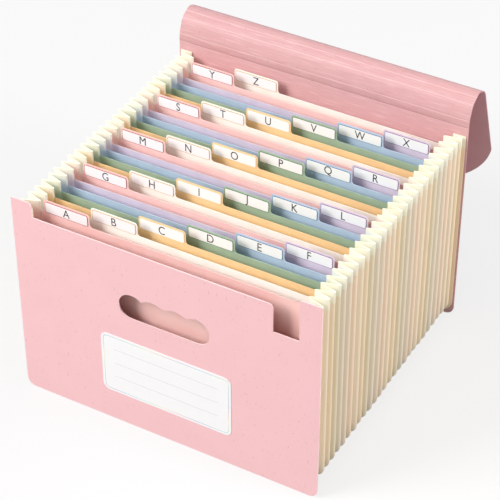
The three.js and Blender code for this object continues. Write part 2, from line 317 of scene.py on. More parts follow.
def linen_sheet(name, base, cloud, fleck, uv=None, sheen_tone=None):
    """Pressed sheet: faint clouds, fibres, sparse upright flecks and a shallow linen press."""
    material, tree, shader = start_material(name, roughness=0.52, specular=0.35)
    plain = own_coordinates(tree, uv=uv)
    stretch = (1, UPRIGHT_STRETCH, 1) if uv else (1, 1, UPRIGHT_STRETCH)
    upright = own_coordinates(tree, stretch, uv)
    tone = mix(tree, patches(tree, plain, *CLOUDS), base, cloud)
    tone = mix(tree, patches(tree, upright, *FIBRES), tone, cloud)
    tone = mix(tree, patches(tree, upright, *FLECKS), tone, fleck)
    # Streaks along x: the pale ones are a painted sheen.
    if sheen_tone:
        across = own_coordinates(tree, (STREAK_STRETCH, 1, 1), uv)
        tone = mix(tree, patches(tree, across, *DARK_STREAKS), tone, fleck)
        tone = mix(tree, patches(tree, across, *PAINTED_SHEEN_STREAKS), tone, sheen_tone)
    tree.links.new(tone, shader.inputs["Base Color"])
    press_bump(tree, shader, upright, PRESS_SIZE, PRESS_DEPTH)
    return material


print("the press is", round(PRESS_DEPTH / MM, 3), "mm deep")

# %% Mix the covers' finishes
COVER_PINK = colour(252, 203, 206)
COVER_CLOUD = colour(248, 196, 201)
COVER_FLECK = colour(216, 160, 168)
# The same pink as the outside, made darker for the inner faces and the lid: painted shade.
SHADED_INSIDE_PINK = colour(212, 163, 164)
SHADED_INSIDE_CLOUD = colour(205, 155, 157)
SHADED_INSIDE_FLECK = colour(180, 130, 134)
# A paler pink for the score lines, also used for the lid's painted sheen streaks.
SCORE_AND_SHEEN_PINK = colour(234, 196, 198)
# A paler pink for the cover's cut edge: a painted highlight along the rim.
HIGHLIGHT_EDGE_PINK = colour(255, 228, 227)
SHEET_UV = "sheet"

cover_outside = linen_sheet("cover_outside", COVER_PINK, COVER_CLOUD, COVER_FLECK)
cover_inside = linen_sheet("cover_inside", SHADED_INSIDE_PINK, SHADED_INSIDE_CLOUD, SHADED_INSIDE_FLECK)
cut_edge_highlight = linen_sheet("cut_edge_highlight", HIGHLIGHT_EDGE_PINK, COVER_PINK, COVER_FLECK)
lid_outside = linen_sheet("lid_outside", COVER_PINK, COVER_CLOUD, COVER_FLECK, SHEET_UV)
lid_inside_shaded = linen_sheet("lid_inside_shaded", SHADED_INSIDE_PINK, SHADED_INSIDE_CLOUD, SHADED_INSIDE_FLECK, SHEET_UV,
                         sheen_tone=SCORE_AND_SHEEN_PINK)
# The lid's cut edge takes the darkest inside tone: painted shade.
lid_edge_shaded = linen_sheet("lid_edge_shaded", SHADED_INSIDE_FLECK, SHADED_INSIDE_CLOUD, SHADED_INSIDE_FLECK, SHEET_UV)
lid_score = linen_sheet("lid_score", SCORE_AND_SHEEN_PINK, SHADED_INSIDE_PINK, SHADED_INSIDE_FLECK, SHEET_UV)
print("cover finishes:", cover_outside.name, cover_inside.name, lid_inside_shaded.name)

# %% [markdown]
# ## The front cover
# On the real file this is one stamped sheet: two posts, a lowered edge between them, a notch for
# a fingertip and a hand hole. The outline could be drawn as a curve and extruded. It is already
# in the solid, so we copy that, join its triangles and round the edges with a small Bevel. The
# sheet is one pink, but its back takes a darker copy of it, painted shade, and the cut edge a
# paler one, a painted highlight, so each face takes a slot by its normal. The wide faces are
# shaded flat, because smooth shading would draw the bevel's light far across them.

# %% Make the front cover
FACING = 0.9
COVER_ROUNDING = 0.22 * MM


def paint_sheet(piece, front, back, edge):
    """One finish for the face to the front, one for the face to the back and one for the edge."""
    for material in (front, back, edge):
        piece.data.materials.append(material)
    for face in piece.data.polygons:
        toward_front = -face.normal.y
        face.material_index = 0 if toward_front > FACING else 1 if toward_front < -FACING else 2


front_cover = copy_sheet("front_cover", "front_cover_sheet")
round_edges(front_cover, COVER_ROUNDING, segments=2)
paint_sheet(front_cover, cover_outside, cover_inside, cut_edge_highlight)
belongs(front_cover, "file", "cover_outside", "front_cover")
print("front cover faces:", len(front_cover.data.polygons))

# %% [markdown]
# ## The back cover and the lid, one sheet
# The sheet rises behind the last pocket, curls backwards over its score lines and ends in a
# tongue. It could be a flat outline with a bend modifier, but then the bends wouldn't lie where
# the lid's joints are. So it is made from a grid, row by row, and each row is carried to its
# place on a line of straight runs and round bends, one bend to a joint. The pieces are divided
# halfway between two joints, where nothing bends, and each piece turns smoothly across one
# joint. The joints' places come from the frame.

# %% Find the sheet's side view
JOINTS = [joint["pos_m"] for joint in frame["joints"]]
LID_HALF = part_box("lid_flap")[1][0]
SHEET_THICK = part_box("back_cover")[1][1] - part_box("back_cover")[0][1]
FLAP_STRAIGHT = 96 * MM
TONGUE_LENGTH = 82 * MM


def leading_line():
    """Corner points of the sheet's side view, from the foot of the back cover to the flap's end."""
    points = [Vector((0, joint[1], joint[2])) for joint in JOINTS]
    foot = Vector((0, points[0].y, 0))
    flap_low, flap_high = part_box("lid_flap")
    tip = Vector((0, flap_high[1] - SHEET_THICK / 2, flap_low[2]))
    along = (tip - points[-1]).normalized()
    return [foot, *points, points[-1] + along * (FLAP_STRAIGHT + TONGUE_LENGTH)]


LINE = leading_line()
RUNS = [(b - a).length for a, b in zip(LINE, LINE[1:])]
CORNER_AT = [sum(RUNS[:i + 1]) for i in range(len(JOINTS))]
print("joints at", [round(s / MM, 1) for s in CORNER_AT], "mm up the sheet")

# %% Walk up the sheet
BEND_REACH = 5.5 * MM  # how far a bend reaches each way from its joint


def place_on_line(distance):
    """The point of the sheet's middle at a distance up the sheet, with its bends rounded."""
    for i, corner in enumerate(CORNER_AT):
        if abs(distance - corner) < BEND_REACH:
            before = (LINE[i + 1] - LINE[i]).normalized()
            after = (LINE[i + 2] - LINE[i + 1]).normalized()
            start = LINE[i + 1] - before * BEND_REACH
            bend = before.angle(after)
            radius = BEND_REACH / math.tan(bend / 2)
            inward = (after - before * before.dot(after)).normalized()
            turn = bend * (distance - corner + BEND_REACH) / (2 * BEND_REACH)
            return start + before * radius * math.sin(turn) + inward * radius * (1 - math.cos(turn))
    run = 0
    while run < len(RUNS) - 1 and distance > sum(RUNS[:run + 1]):
        run += 1
    along = (LINE[run + 1] - LINE[run]).normalized()
    return LINE[run] + along * (distance - sum(RUNS[:run]))


print("the sheet's end is at", place_on_line(sum(RUNS))[:])

# %% [markdown]
# The outline is a half width for each row: a round corner at the foot, straight sides, and the
# tongue's long curve. A row of points by hand would leave corners, so the tongue is a smooth curve
# given by four handles, the same as the solid's, with a rounder end.

# %% Shape the tongue
TONGUE_SIDE = [(0, FLAP_STRAIGHT), (-8 * MM, FLAP_STRAIGHT + 34 * MM),
               (-35 * MM, FLAP_STRAIGHT + TONGUE_LENGTH - 18 * MM),
               (-61 * MM, FLAP_STRAIGHT + TONGUE_LENGTH - 4 * MM)]
TONGUE_END = [TONGUE_SIDE[-1], (-69 * MM, FLAP_STRAIGHT + TONGUE_LENGTH),
              (-81 * MM, FLAP_STRAIGHT + TONGUE_LENGTH)]
SIDE_STEPS = 20
END_STEPS = 6


def curve_point(handles, t):
    """A point of the smooth curve that three or four handles give, from 0 to 1 along it."""
    while len(handles) > 1:
        handles = [a * (1 - t) + b * t for a, b in zip(handles, handles[1:])]
    return handles[0]


def tongue_rows(start):
    """Rows of the tongue: distance up the sheet and half width."""
    rows = []
    for places, steps in ((TONGUE_SIDE, SIDE_STEPS), (TONGUE_END, END_STEPS)):
        handles = [Vector((LID_HALF + x, start + up)) for x, up in places]
        points = [curve_point(handles, i / steps) for i in range(1, steps + 1)]
        rows += [(point.y, point.x) for point in points]
    return rows


print("the tongue ends", round(2 * tongue_rows(0)[-1][1] / MM), "mm wide")

# %% List the rows of a piece
COVER_CORNER = 9.5 * MM
CORNER_STEPS = 8
BEND_STEPS = 10


def foot_rows():
    """The round bottom corners of the back cover."""
    rows = []
    for i in range(CORNER_STEPS + 1):
        turn = math.pi / 2 * i / CORNER_STEPS
        rows.append((COVER_CORNER * (1 - math.cos(turn)),
                     LID_HALF - COVER_CORNER + COVER_CORNER * math.sin(turn)))
    return rows


def bend_rows(corner):
    """Rows through one bend: distances from its start to its end."""
    return [corner - BEND_REACH + 2 * BEND_REACH * i / BEND_STEPS for i in range(BEND_STEPS + 1)]


def rows_between(low, high):
    """Straight-sided rows of one piece between two distances."""
    distances = [low]
    for corner in CORNER_AT:
        if low < corner < high:
            distances += [row for row in bend_rows(corner) if low < row < high]
    distances.append(high)
    return [(distance, LID_HALF) for distance in distances]


print("rows in one bend:", len(bend_rows(CORNER_AT[0])))

# %% Add the score lines
SCORES = [238.5 * MM + 8.6 * MM * i for i in range(7)]
SCORE_HALF = 0.4 * MM
SCORE_DEPTH = 0.22 * MM
SCORE_CLEARANCE = 2.2 * SCORE_HALF


def with_scores(rows, low, high):
    """Adds three close rows for each score line between low and high, and keeps the end rows."""
    first, *inner, last = rows
    extra = []
    for score in SCORES:
        if low + SCORE_HALF < score < high - SCORE_HALF:
            inner = [row for row in inner if abs(row[0] - score) > SCORE_CLEARANCE]
            extra += [(score + side * SCORE_HALF, LID_HALF) for side in (-1, 0, 1)]
    return [first, *sorted(inner + extra), last]


print("score lines at", [round(score / MM, 1) for score in SCORES], "mm up the sheet")

# %% Turn rows into a sheet
COLUMNS = 14
NEARBY = 0.01 * MM


def make_sheet(name, rows):
    """A grid carried row by row to the line, with its flat coordinates kept as its UV map."""
    bpy.ops.object.select_all(action="DESELECT")
    bpy.ops.mesh.primitive_grid_add(x_subdivisions=COLUMNS, y_subdivisions=len(rows) - 1, size=1)
    piece = bpy.context.object
    piece.name = name
    mesh = piece.data
    per_row = COLUMNS + 1
    uv = mesh.uv_layers[0]
    uv.name = SHEET_UV
    flat = []
    for index, vertex in enumerate(mesh.vertices):
        distance, half = rows[index // per_row]
        x = half * (2 * (index % per_row) / COLUMNS - 1)
        flat.append((x, distance))
        point = place_on_line(distance)
        ahead = place_on_line(distance + NEARBY) - place_on_line(distance - NEARBY)
        outward = Vector((0, -ahead.z, ahead.y)).normalized()
        groove = any(abs(distance - score) < NEARBY for score in SCORES)
        vertex.co = Vector((x, point.y, point.z)) - outward * (SCORE_DEPTH if groove else 0)
    for loop in mesh.loops:
        uv.data[loop.index].uv = flat[loop.vertex_index]
    return piece


print("each row has", COLUMNS + 1, "points")

# %% Give the sheet its thickness
LID_SLOTS = (lid_inside_shaded, lid_outside, lid_edge_shaded, lid_score)
INSIDE_SLOT, SCORE_SLOT = 0, 3


def thicken_sheet(piece):
    """Gives the sheet its thickness, with its own finish for each face, the edge and the scores."""
    pick(piece)
    wall = piece.modifiers.new("wall", "SOLIDIFY")
    wall.thickness = SHEET_THICK
    wall.offset = 0
    wall.use_even_offset = True
    wall.material_offset = 1
    wall.material_offset_rim = 2
    for material in LID_SLOTS:
        piece.data.materials.append(material)
    apply_modifiers(piece)
    uv = piece.data.uv_layers[SHEET_UV].data
    for face in piece.data.polygons:
        middle = sum(uv[i].uv.y for i in face.loop_indices) / len(face.loop_indices)
        near = any(abs(middle - score) < SCORE_HALF for score in SCORES)
        if face.material_index == INSIDE_SLOT and near:
            face.material_index = SCORE_SLOT
    smooth(piece, degrees=50)


print("the sheet is", round(SHEET_THICK / MM, 2), "mm thick")

# %% Make the back cover and the lid
MIDDLES = [CORNER_AT[i] + RUNS[i + 1] / 2 for i in range(3)]
LID_STARTS = [0, *MIDDLES]
LID_ENDS = [*MIDDLES, CORNER_AT[3] + FLAP_STRAIGHT]
LID_NAMES = ["back_cover_sheet", "lid_curl_lower", "lid_curl_top", "lid_flap_sheet"]
STANDS_FOR = [("back_cover",), ("lid_strip_1",), ("lid_strip_2",), ("lid_strip_3", "lid_flap")]


def make_lid_piece(number):
    """One piece of the sheet, which turns smoothly across the joint in its middle."""
    low, high = LID_STARTS[number], LID_ENDS[number]
    if number == 0:
        rows = foot_rows() + rows_between(COVER_CORNER, high)[1:]
    else:
        rows = rows_between(low, high)
    if number == len(MIDDLES):
        rows = rows + tongue_rows(CORNER_AT[number])
    piece = make_sheet(LID_NAMES[number], with_scores(rows, low, high))
    thicken_sheet(piece)
    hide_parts(*STANDS_FOR[number])
    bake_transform(piece)
    return piece


lid = [make_lid_piece(number) for number in range(len(LID_NAMES))]
print("lid pieces:", [(piece.name, len(piece.data.polygons)) for piece in lid])

# %% [markdown]
# ## The gusset
# One long strip is pleated like a bellows and runs down the left side, along the bottom and up
# the right side. One pleat could be modelled and copied with an Array, but the first and the last
# pocket are not as wide as the others, and every fold would look the same. So it starts as a
# grid: one direction runs across all the pleats from front to back, the other along the U. Each
# grid point is moved to its pleat and its place on the U. The folds are round, and the pleats lean
# and sway a little, as thin sheet does.

# %% Measure the folds
POCKETS = len(LETTERS) + 1
GUSSET_LOW, GUSSET_HIGH = (Vector(corner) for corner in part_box("gusset"))
DIVIDER_LOW, DIVIDER_HIGH = (Vector(corner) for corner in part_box("divider_a"))
GUSSET_THICK = 0.6 * MM
SEAT = 0.3 * MM
FOLD_X = DIVIDER_HIGH.x + SEAT + GUSSET_THICK / 2
FOLD_Z = DIVIDER_LOW.z - SEAT - GUSSET_THICK / 2
PLEAT_DEPTH = GUSSET_HIGH.x - GUSSET_THICK / 2 - FOLD_X
FIRST_Y = GUSSET_LOW.y + GUSSET_THICK / 2
LAST_Y = GUSSET_HIGH.y - GUSSET_THICK / 2


def divider_middle(letter):
    low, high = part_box(f"divider_{letter.lower()}")
    return (low[1] + high[1]) / 2


FOLDS = [FIRST_Y] + [divider_middle(letter) for letter in LETTERS] + [LAST_Y]
PITCH = FOLDS[2] - FOLDS[1]
print("pleat pitch", round(PITCH / MM, 2), "mm, depth", round(PLEAT_DEPTH / MM, 1), "mm")

# %% Draw across the pleats
FLANGE = 20 * MM  # glued to the front cover and to the back cover
BACK_SEAM = 7 * MM  # how far out the sheet meets the back cover
FIRST_FLAT = 1.2 * MM
LEAN, SHORTEST = 0.45 * MM, 0.7 * MM
TIP = [(-1.1 * MM, -2.0 * MM), (-0.62 * MM, -0.42 * MM), (0, 0),
       (0.62 * MM, -0.42 * MM), (1.1 * MM, -2.0 * MM)]
PLEAT_POINTS = 2 * len(TIP)


def pleat_profile():
    """Across the pleats: y, distance outwards, and how far the point may sway."""
    points = [(FIRST_Y, FLANGE, 0), (FIRST_Y, 0, 0), (FIRST_Y + FIRST_FLAT, 0, 0)]
    for i in range(POCKETS):
        ridge = (FOLDS[i] + FOLDS[i + 1]) / 2
        fold = FOLDS[i + 1]
        lean = random.uniform(-1, 1) * LEAN
        short = random.uniform(0, 1) * SHORTEST
        points += [(ridge + lean + dy, PLEAT_DEPTH - short + out, 1) for dy, out in TIP]
        if i < POCKETS - 1:
            points += [(fold + dy, -out, 0) for dy, out in TIP]
    points += [(LAST_Y - FIRST_FLAT, BACK_SEAM, 0), (LAST_Y, BACK_SEAM, 0), (LAST_Y, FLANGE, 0)]
    return points


print("one pleat has", PLEAT_POINTS, "points across")

# %% Follow the U
PLEAT_CORNER = 6 * MM
PLEAT_CORNER_GROWTH = 0.4
FLOOR_END = 0.32  # of the way from the middle of the floor to the top of a side
CORNER_END = 0.52


def gusset_station(out, share):
    """A point on the U at a share from 0, left top, to 1, right top."""
    x = FOLD_X + out
    z = FOLD_Z - out
    radius = PLEAT_CORNER + PLEAT_CORNER_GROWTH * out
    side = 1 if share > 0.5 else -1
    place = abs(share - 0.5) * 2
    if place > CORNER_END:
        rise = (place - CORNER_END) / (1 - CORNER_END)
        return side * x, z + radius + (GUSSET_HIGH.z - z - radius) * rise
    if place > FLOOR_END:
        turn = math.pi / 2 * (place - FLOOR_END) / (CORNER_END - FLOOR_END)
        return side * (x - radius + radius * math.sin(turn)), z + radius - radius * math.cos(turn)
    return side * (x - radius) * place / FLOOR_END, z


HEM_SHARES = [0, 0.004, 0.012, 0.018]
SIDE_SHARES = [0.04 + i * 0.02 for i in range(10)]
CORNER_SHARES = [0.24 + 0.1 * i / 6 for i in range(6)]
FLOOR_SHARES = [0.34 + 0.32 * i / 8 for i in range(9)]
HALF_SHARES = HEM_SHARES + SIDE_SHARES + CORNER_SHARES
STATION_SHARES = HALF_SHARES + FLOOR_SHARES + [1 - share for share in reversed(HALF_SHARES)]
print("stations along the U:", len(STATION_SHARES))

# %% [markdown]
# The top edge of each pleat is folded over into a hem. A second strip along the edge would do, but
# it would have to follow every pleat again. A Solidify modifier reads a vertex group instead, so
# the sheet grows thicker near its top edge, and it gives the sheet a second finish on its inside
# and a third on its rim.

# %% Make the gusset
HEM = 14 * MM
HEM_THICK = 1.5 * MM
SWAY = 0.35 * MM
SWAY_WAVES = 9


def make_gusset():
    profile = pleat_profile()
    bpy.ops.object.select_all(action="DESELECT")
    bpy.ops.mesh.primitive_grid_add(x_subdivisions=len(profile) - 1,
                                    y_subdivisions=len(STATION_SHARES) - 1, size=1)
    piece = bpy.context.object
    piece.name = "gusset_pleats"
    phases = [random.uniform(0, 2 * math.pi) for _ in profile]
    hem = piece.vertex_groups.new(name="hem")
    for index, vertex in enumerate(piece.data.vertices):
        station, column = divmod(index, len(profile))
        share = STATION_SHARES[station]
        y, out, sway = profile[column]
        x, z = gusset_station(out, share)
        phase = phases[column - column % PLEAT_POINTS]
        wave = SWAY * sway * math.sin(SWAY_WAVES * share + phase)
        vertex.co = (x, y + wave, z)
        in_hem = max(0, 1 - (GUSSET_HIGH.z - z) / HEM)
        hem.add([index], min(1, 2 * in_hem) * sway, "REPLACE")
    wall = piece.modifiers.new("wall", "SOLIDIFY")
    wall.thickness = HEM_THICK
    wall.vertex_group = "hem"
    wall.thickness_vertex_group = GUSSET_THICK / HEM_THICK
    wall.offset = 0
    wall.material_offset = 1
    wall.material_offset_rim = 2
    return piece


gusset = make_gusset()
print("gusset grid:", len(gusset.data.vertices), "points")

# %% [markdown]
# The gusset's sheet is cream and lets a little light through, so each pocket's colour shows on it,
# stronger on the inside than on the outside. It could be a see-through sheet, but that makes the
# light patchy between so many folds. A faint tint does the same and stays clean. The pocket is
# found from y: its place in a run of six pockets picks one of six colours from a ramp.

# %% Find a pocket's colour
POCKET_COLOURS = [
    colour(255, 211, 204), colour(255, 250, 241), colour(247, 210, 158),
    colour(167, 190, 165), colour(190, 208, 230), colour(224, 210, 224),
]
COLOUR_COUNT = len(POCKET_COLOURS)


def pocket_colour(tree, y):
    """The colour of the pocket that a point lies in, in runs of six along y.

    The first pocket is wider than the others, so y is held at its rear part.
    """
    held = calculate(tree, "MAXIMUM", y, FOLDS[1] - 0.99 * PITCH)
    span = tree.nodes.new("ShaderNodeMapRange")
    span.clamp = False
    span.inputs["From Min"].default_value = FOLDS[1] - PITCH
    span.inputs["From Max"].default_value = FOLDS[1] + (COLOUR_COUNT - 1) * PITCH
    tree.links.new(held, span.inputs["Value"])
    ramp = tree.nodes.new("ShaderNodeValToRGB")
    ramp.color_ramp.interpolation = "CONSTANT"
    stops = ramp.color_ramp.elements
    stops[0].color = POCKET_COLOURS[0]
    stops[1].position = 1 / COLOUR_COUNT
    stops[1].color = POCKET_COLOURS[1]
    for i in range(2, COLOUR_COUNT):
        stops.new(i / COLOUR_COUNT).color = POCKET_COLOURS[i]
    tree.links.new(calculate(tree, "FRACT", span.outputs["Result"]), ramp.inputs["Fac"])
    return ramp.outputs["Color"]


print("colours in one run of pockets:", COLOUR_COUNT)

# %% Finish the gusset
GUSSET_CREAM = colour(255, 240, 214)
# A lighter copy of the cream: a painted highlight on the pleats' top band and rim. The inside takes
# it throughout.
LIT_CREAM = colour(255, 252, 232)
FIBRE_TAN = colour(215, 190, 160)
GUSSET_FIBRES = (1.2 * MM, 3, 0.62, 0.78, 0.12)
TINT_FADE = 15 * MM


def gusset_sheet(name, cream, tint_low, tint_high):
    """Cream sheet with a pocket's tint, tint_low strong at first and tint_high at the top edge.

    The band along the top edge takes a lighter cream: a painted highlight.
    """
    material, tree, shader = start_material(name, roughness=0.45, specular=0.4)
    source = tree.nodes.new("ShaderNodeTexCoord")
    split = tree.nodes.new("ShaderNodeSeparateXYZ")
    tree.links.new(source.outputs["Object"], split.inputs["Vector"])
    tint = pocket_colour(tree, split.outputs["Y"])
    height = split.outputs["Z"]
    share = tree.nodes.new("ShaderNodeMapRange")
    share.inputs["From Min"].default_value = GUSSET_HIGH.z - TINT_FADE
    share.inputs["From Max"].default_value = GUSSET_HIGH.z - 1 * MM
    share.inputs["To Min"].default_value = tint_low
    share.inputs["To Max"].default_value = tint_high
    tree.links.new(height, share.inputs["Value"])
    # The band along the top edge is painted the lighter cream: a painted highlight.
    top = band(tree, height, GUSSET_HIGH.z - HEM, GUSSET_HIGH.z - HEM + 2 * MM)
    tone = mix(tree, share.outputs["Result"], mix(tree, top, cream, LIT_CREAM), tint)
    fine = own_coordinates(tree, stretch=(1, 1, 0.2))
    tone = mix(tree, patches(tree, fine, *GUSSET_FIBRES), tone, FIBRE_TAN)
    tree.links.new(tone, shader.inputs["Base Color"])
    press_bump(tree, shader, fine, size=1.0 * MM, depth=0.04 * MM)
    return material


gusset_outside = gusset_sheet("gusset_outside", GUSSET_CREAM, tint_low=0.16, tint_high=0.03)
# The inside and the rim start from the lighter cream, a painted highlight.
gusset_inside = gusset_sheet("gusset_inside", LIT_CREAM, tint_low=0.85, tint_high=0.1)
gusset_rim_highlight = gusset_sheet("gusset_rim_highlight", LIT_CREAM, tint_low=0.1, tint_high=0.02)
for material in (gusset_outside, gusset_inside, gusset_rim_highlight):
    gusset.data.materials.append(material)
apply_modifiers(gusset)
smooth(gusset, degrees=60)
belongs(gusset, "file", "gusset", "gusset")
print("gusset faces:", len(gusset.data.polygons))

# %% [markdown]
# ## The dividers
# Each divider is a thin coloured sheet with one tab. All 26 have the same body and differ in
# where the tab stands and in colour. One could be modelled and its tab moved along for each copy.
# The solids hold every tab in its place already, so each is copied, its edges are rounded very
# slightly, and it takes one of six finishes.

# %% Mix six divider finishes
DIVIDER_CLOUDS = (18 * MM, 2, 0.35, 0.65, 1)
DIVIDER_FIBRES = (1.3 * MM, 3, 0.68, 0.76, 0.5)
DIVIDER_SLOTS = ["divider_pink", "divider_cream", "divider_orange",
                 "divider_green", "divider_blue", "divider_lavender"]


def shade(base, factor):
    """A lighter or darker tone of a colour."""
    return (*(min(1, channel * factor) for channel in base[:3]), 1)


def divider_sheet(name, base):
    """Matte sheet with the same fine fibres as the covers, much fainter."""
    material, tree, shader = start_material(name, roughness=0.5, specular=0.35)
    stretched = own_coordinates(tree, stretch=(1, 1, 0.5))
    tone = mix(tree, patches(tree, own_coordinates(tree), *DIVIDER_CLOUDS), base, shade(base, 1.06))
    tone = mix(tree, patches(tree, stretched, *DIVIDER_FIBRES), tone, shade(base, 0.82))
    tree.links.new(tone, shader.inputs["Base Color"])
    press_bump(tree, shader, stretched, PRESS_SIZE, depth=0.03 * MM)
    return material


divider_finishes = [divider_sheet(slot, tint) for slot, tint in zip(DIVIDER_SLOTS, POCKET_COLOURS)]
print("divider finishes:", [finish.name for finish in divider_finishes])

# %% Make the dividers
DIVIDER_ROUNDING = 0.12 * MM


def make_divider(number):
    letter = LETTERS[number].lower()
    piece = copy_sheet(f"divider_{letter}", f"divider_sheet_{letter}")
    round_edges(piece, DIVIDER_ROUNDING, segments=1)
    piece.data.materials.append(divider_finishes[number % COLOUR_COUNT])
    belongs(piece, "file", DIVIDER_SLOTS[number % COLOUR_COUNT], f"divider_{letter}")


for number in range(len(LETTERS)):
    make_divider(number)
print("dividers made:", len(LETTERS))

# %% [markdown]
# ## The tab labels
# A white label with a thin coloured frame sits on each tab, with one letter of the alphabet. The
# frame could be a pattern in the material, but its corners would need sums of their own. As
# geometry it is three steps: a plane's corners are bevelled round, an inset makes the frame, and
# a Solidify gives thickness. The letter is a text object turned to face the front, made a mesh and
# joined to the label, so label and letter stay one piece.

# %% Mix the print and the inks
PRINT_PATCHES = (6 * MM, 2, 0.3, 0.7, 0.5)


def plain_print(name, base, roughness=0.4, cloud=0.03):
    """Smooth print or label stock with the faintest unevenness."""
    material, tree, shader = start_material(name, roughness, specular=0.4)
    uneven = patches(tree, own_coordinates(tree), *PRINT_PATCHES)
    tree.links.new(mix(tree, uneven, base, shade(base, 1 - cloud * 3)), shader.inputs["Base Color"])
    return material


FRAME_COLOURS = [
    colour(182, 54, 62), colour(206, 178, 116), colour(248, 228, 200),
    colour(66, 114, 70), colour(76, 124, 164), colour(146, 98, 154),
]
label_white = plain_print("label_white", colour(255, 255, 255), cloud=0.008)
ink = plain_print("letter_ink", colour(24, 22, 26), roughness=0.5)
frame_inks = [plain_print(f"frame_ink_{i + 1}", tint) for i, tint in enumerate(FRAME_COLOURS)]
print("frame inks:", len(frame_inks))


# %% Cut a label
def rounded_plate(name, low, high, corner, segments):
    """A flat plate facing the front, with round corners. Low and high are its corners."""
    middle = (low + high) / 2
    bpy.ops.object.select_all(action="DESELECT")
    bpy.ops.mesh.primitive_plane_add(size=1, location=(middle.x, low.y, middle.z),
                                     rotation=(math.pi / 2, 0, 0))
    piece = bpy.context.object
    piece.name = name
    piece.scale = (high.x - low.x, high.z - low.z, 1)
    settle(piece)
    bpy.ops.object.mode_set(mode="EDIT")
    bpy.ops.mesh.select_all(action="SELECT")
    bpy.ops.mesh.bevel(offset=corner, segments=segments, affect="VERTICES")
    bpy.ops.mesh.select_all(action="SELECT")
    bpy.ops.object.mode_set(mode="OBJECT")
    return piece


def inset_face(width):
    """Insets the selected face of the picked piece. The inner face stays selected."""
    bpy.ops.object.mode_set(mode="EDIT")
    bpy.ops.mesh.inset(thickness=width, use_even_offset=True)
    bpy.ops.object.mode_set(mode="OBJECT")


def back_plate(piece, thick):
    """Extrudes the printed face backwards into a thin plate."""
    wall = piece.modifiers.new("wall", "SOLIDIFY")
    wall.thickness = thick
    wall.offset = -1
    apply_modifiers(piece)


print("a label is cut from one plane, and its frame is one inset")

# %% Print a letter
LETTER_HEIGHT = 9.2 * MM
CAPITAL_SHARE = 0.7  # a capital's height as a share of the text size
LETTER_NARROWING = 0.84
LETTER_THINNING = 0.02 * MM
LETTER_RELIEF = 0.02 * MM


def letter_mesh(letter, middle, front):
    """A letter as a mesh, upright and facing the front, around a middle point."""
    bpy.ops.object.select_all(action="DESELECT")
    bpy.ops.object.text_add(location=(0, 0, 0))
    text = bpy.context.object
    text.data.body = letter
    text.data.align_x = "CENTER"
    text.data.size = LETTER_HEIGHT / CAPITAL_SHARE
    text.data.offset = -LETTER_THINNING
    text.data.extrude = LETTER_RELIEF
    text.data.resolution_u = 6
    bpy.ops.object.convert(target="MESH")
    text = bpy.context.object
    heights = [vertex.co.y for vertex in text.data.vertices]
    widths = [vertex.co.x for vertex in text.data.vertices]
    shift = Vector((-(min(widths) + max(widths)) / 2, -(min(heights) + max(heights)) / 2, 0))
    text.data.transform(Matrix.Translation(shift))
    text.data.transform(Matrix.Diagonal((LETTER_NARROWING, 1, 1, 1)))
    text.data.transform(Matrix.Rotation(math.pi / 2, 4, "X"))
    text.data.transform(Matrix.Translation(Vector((middle.x, front, middle.z))))
    text.data.materials.clear()
    text.data.materials.append(ink)
    return text


print("letters are", round(LETTER_HEIGHT / MM, 1), "mm high")

# %% Make the tab labels
LABEL_CORNER = 2 * MM
LABEL_THICK = 0.45 * MM
LABEL_GLUE = 0.02 * MM  # between a label and the sheet behind it
FRAME_LINE = 0.45 * MM
LETTER_LIFT = 0.01 * MM


def make_label(number):
    letter = LETTERS[number]
    low, high = (Vector(corner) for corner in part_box(f"tab_label_{letter.lower()}"))
    low.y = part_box(f"divider_{letter.lower()}")[0][1] - LABEL_THICK
    piece = rounded_plate(f"label_{letter.lower()}", low, high, LABEL_CORNER, segments=5)
    for material in (label_white, frame_inks[number % COLOUR_COUNT], ink):
        piece.data.materials.append(material)
    inset_face(FRAME_LINE)
    for face in piece.data.polygons:
        face.material_index = 0 if face.select else 1
    back_plate(piece, LABEL_THICK - LABEL_GLUE)
    join_to(piece, [letter_mesh(letter, (low + high) / 2, low.y - LETTER_LIFT)])
    belongs(piece, "file", "label", f"tab_label_{letter.lower()}")
    return piece


labels = [make_label(number) for number in range(len(LETTERS))]
print("labels made:", len(labels), "first has", len(labels[0].data.polygons), "faces")

# %% [markdown]
# ## The front label
# A blank white sticker with a thin frame line that runs through pale rainbow tones, and three
# grey lines to write on. It is cut like the tab labels. The frame line is the ring between two
# insets, and the writing lines are thin strips joined to it. Its colours could be painted on
# face by face, but then they would change in steps. They come from the piece's own x and z
# through a ramp instead, so they run softly round the sticker.

# %% Mix the rainbow line
RAINBOW_LENGTH = 95 * MM
RAINBOW_RISE = 1.6
RAINBOW = [
    (0, colour(176, 160, 205)), (0.25, colour(170, 205, 222)), (0.45, colour(186, 224, 190)),
    (0.62, colour(248, 236, 176)), (0.8, colour(244, 176, 170)), (1, colour(176, 160, 205)),
]


def rainbow_print():
    material, tree, shader = start_material("rainbow_line", roughness=0.35, specular=0.5)
    split = tree.nodes.new("ShaderNodeSeparateXYZ")
    tree.links.new(own_coordinates(tree, (1, 1, RAINBOW_RISE)), split.inputs["Vector"])
    total = calculate(tree, "ADD", split.outputs["X"], split.outputs["Z"])
    cycle = calculate(tree, "FRACT", calculate(tree, "MULTIPLY", total, 1 / RAINBOW_LENGTH))
    ramp = tree.nodes.new("ShaderNodeValToRGB")
    for place, tint in RAINBOW[1:-1]:
        ramp.color_ramp.elements.new(place).color = tint
    ramp.color_ramp.elements[0].color = RAINBOW[0][1]
    ramp.color_ramp.elements[-1].color = RAINBOW[-1][1]
    tree.links.new(cycle, ramp.inputs["Fac"])
    tree.links.new(ramp.outputs["Color"], shader.inputs["Base Color"])
    return material


